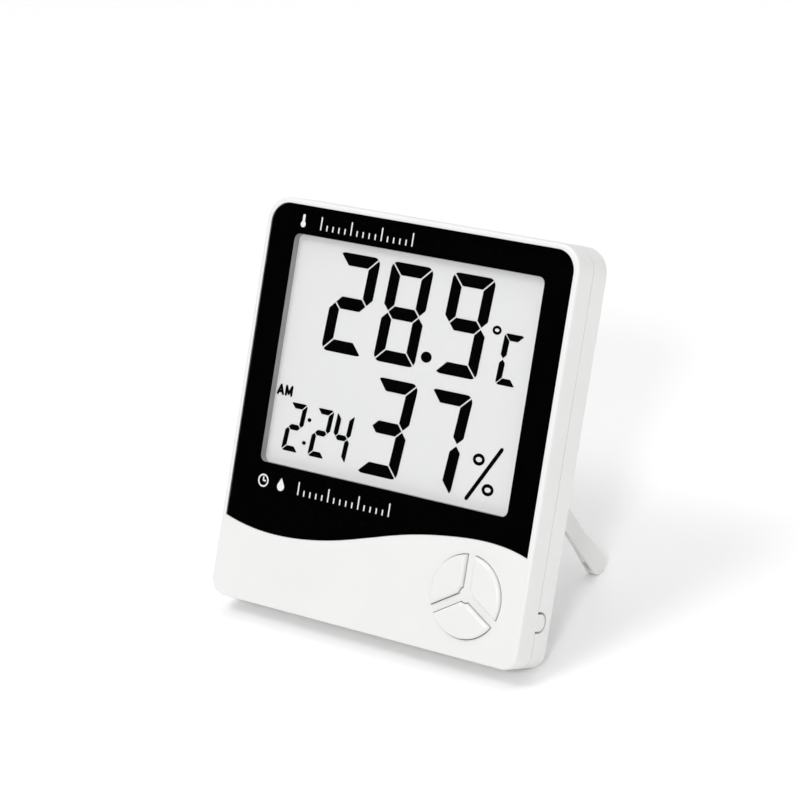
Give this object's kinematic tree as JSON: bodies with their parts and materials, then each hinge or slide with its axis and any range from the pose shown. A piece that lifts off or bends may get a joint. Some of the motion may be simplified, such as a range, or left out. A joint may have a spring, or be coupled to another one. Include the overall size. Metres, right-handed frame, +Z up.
{
  "type": "thermometer hygrometer clock",
  "caption": "Desk clock with thermometer and hygrometer: flat white case, black front panel with a large segment display, sector buttons in a circle and a fold-out leg.",
  "frame": {"origin": "bottom centre of the box round the clock as it stands on its opened leg", "axes": "+X to the right as seen from the front, -Y towards the viewer in front, +Z up; the case leans back by 27.3 degrees"},
  "size_m": [0.1, 0.0636, 0.1016],
  "materials": {
    "case_white": "white moulded plastic, satin",
    "button_white": "white moulded plastic, satin",
    "lens_clear": "clear acrylic sheet, polished",
    "panel_black": "black ink behind the clear sheet",
    "print_white": "white ink",
    "gasket_grey": "grey plastic, matt",
    "display_grey": "light grey polariser, matt",
    "segment_black": "black segments",
    "display_glass": "thin clear glass",
    "reflector_silver": "silver film, matt",
    "frame_plastic": "off-white moulded plastic",
    "zebra_rubber": "layered pink rubber",
    "board_green": "green solder mask",
    "epoxy_black": "black epoxy, soft gloss",
    "can_steel": "drawn steel can",
    "capacitor_sleeve": "dark sleeve",
    "chip_black": "black chip with tinned ends",
    "sensor_ceramic": "white ceramic plate",
    "buzzer_brass": "thin brass disc",
    "buzzer_ceramic_white": "silvered ceramic disc",
    "wire_red": "red wire insulation",
    "wire_black": "black wire insulation",
    "mat_rubber": "grey silicone rubber",
    "cell_sleeve": "dark printed sleeve with a plain light band",
    "contact_steel": "nickel-plated spring steel",
    "screw_steel": "zinc-plated steel"
  },
  "bodies": {
    "case": {"front_shell": "case_white", "rear_shell": "case_white", "lens_panel": "lens_clear", "lens_mask": "panel_black", "lens_print": "print_white", "lcd_segments": "segment_black", "lcd_gasket": "gasket_grey", "lcd_front_polariser": "display_grey", "lcd_front_glass": "display_glass", "lcd_rear_glass": "display_glass", "lcd_reflector": "reflector_silver", "lcd_frame": "frame_plastic", "zebra_strip_top": "zebra_rubber", "zebra_strip_bottom": "zebra_rubber", "main_board": "board_green", "controller_blob": "epoxy_black", "quartz_crystal": "can_steel", "humidity_sensor": "sensor_ceramic", "temperature_sensor": "epoxy_black", "buzzer_plate": "buzzer_brass", "buzzer_ceramic": "buzzer_ceramic_white", "buzzer_lead_1": "wire_red", "buzzer_lead_2": "wire_black", "key_mat": "mat_rubber", "battery_cell": "cell_sleeve", "battery_spring": "contact_steel", "battery_contact": "contact_steel", "lead_negative": "wire_black", "lead_positive": "wire_red", "case_screw_1": "screw_steel", "case_screw_2": "screw_steel", "case_screw_3": "screw_steel", "case_screw_4": "screw_steel", "board_screw_1": "screw_steel", "board_screw_2": "screw_steel", "board_screw_3": "screw_steel", "board_screw_4": "screw_steel", "board_screw_5": "screw_steel", "capacitor_1": "capacitor_sleeve", "capacitor_2": "capacitor_sleeve", "resistor_1": "chip_black", "resistor_2": "chip_black", "resistor_3": "chip_black", "resistor_4": "chip_black", "resistor_5": "chip_black", "resistor_6": "chip_black"},
    "leg": {"stand_leg": "case_white"},
    "door": {"battery_door": "case_white"},
    "key_left": {"button_left": "button_white", "plunger_left": "mat_rubber"},
    "key_right": {"button_right": "button_white", "plunger_right": "mat_rubber"},
    "key_bottom": {"button_bottom": "button_white", "plunger_bottom": "mat_rubber"}
  },
  "joints": [
    {"name": "leg_hinge", "type": "hinge", "parent": "case", "child": "leg", "pos_m": [0.03465, 0.0058, 0.04265], "axis": [1, 0, 0], "range_deg": [-55.5, 0]},
    {"name": "door_slide", "type": "slide", "parent": "case", "child": "door", "axis": [-1, 0, 0], "range_m": [0, 0.05]},
    {"name": "key_left_press", "type": "slide", "parent": "case", "child": "key_left", "axis": [0, 0.8889, -0.4582], "range_m": [0, 0.0008], "stiffness_N_per_m": 1200},
    {"name": "key_right_press", "type": "slide", "parent": "case", "child": "key_right", "axis": [0, 0.8889, -0.4582], "range_m": [0, 0.0008], "stiffness_N_per_m": 1200},
    {"name": "key_bottom_press", "type": "slide", "parent": "case", "child": "key_bottom", "axis": [0, 0.8889, -0.4582], "range_m": [0, 0.0008], "stiffness_N_per_m": 1200}
  ]
}
